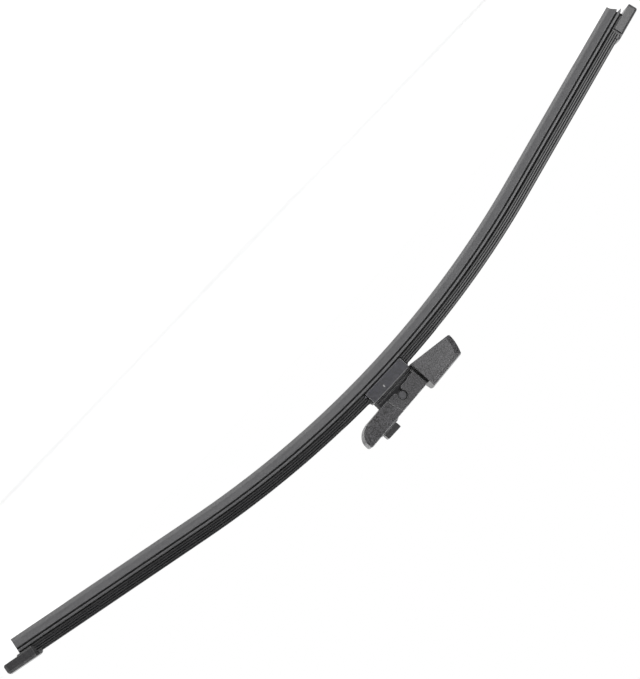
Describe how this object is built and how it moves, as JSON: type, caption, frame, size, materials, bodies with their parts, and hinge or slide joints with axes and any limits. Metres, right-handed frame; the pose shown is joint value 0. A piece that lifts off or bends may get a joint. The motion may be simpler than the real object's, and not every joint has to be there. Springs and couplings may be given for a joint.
{
  "type": "wiper blade",
  "caption": "Flat wiper blade with a bowed rubber squeegee, ribbed covers, end caps and a swivelling arm connector with a release button.",
  "frame": {"origin": "middle of the pivot pin", "axes": "+X along the blade towards the connector's nose, +Y across the blade, +Z away from the glass"},
  "size_m": [0.4124, 0.0136, 0.0617],
  "materials": {
    "rubber": "matte",
    "cover_plastic": "satin",
    "connector_plastic": "textured matte",
    "cap_plastic": "matte",
    "painted_steel": "black paint, satin",
    "spring_steel": "bare, brushed",
    "pin_steel": "black coated"
  },
  "bodies": {
    "arm_connector": {"adapter": "connector_plastic", "button_spring": "spring_steel"},
    "release_button": {"release_button": "cap_plastic"},
    "blade": {"wiper_rubber": "rubber", "rail_front": "spring_steel", "rail_rear": "spring_steel", "cover_left": "cover_plastic", "cover_right": "cover_plastic", "end_cap_left": "cap_plastic", "end_cap_right": "cap_plastic", "rail_clamp": "painted_steel", "base": "cap_plastic", "pivot_pin": "pin_steel"}
  },
  "joints": [
    {"name": "blade_swivel", "type": "hinge", "parent": "arm_connector", "child": "blade", "pos_m": [0, 0, 0], "axis": [0, 1, 0], "range_deg": [-12, 5.5]},
    {"name": "button_press", "type": "slide", "parent": "arm_connector", "child": "release_button", "axis": [0.0401, 0, -0.9992], "range_m": [0, 0.0032], "stiffness_N_per_m": 1500, "springref_m": -0.002, "deforming": ["button_spring"]}
  ]
}
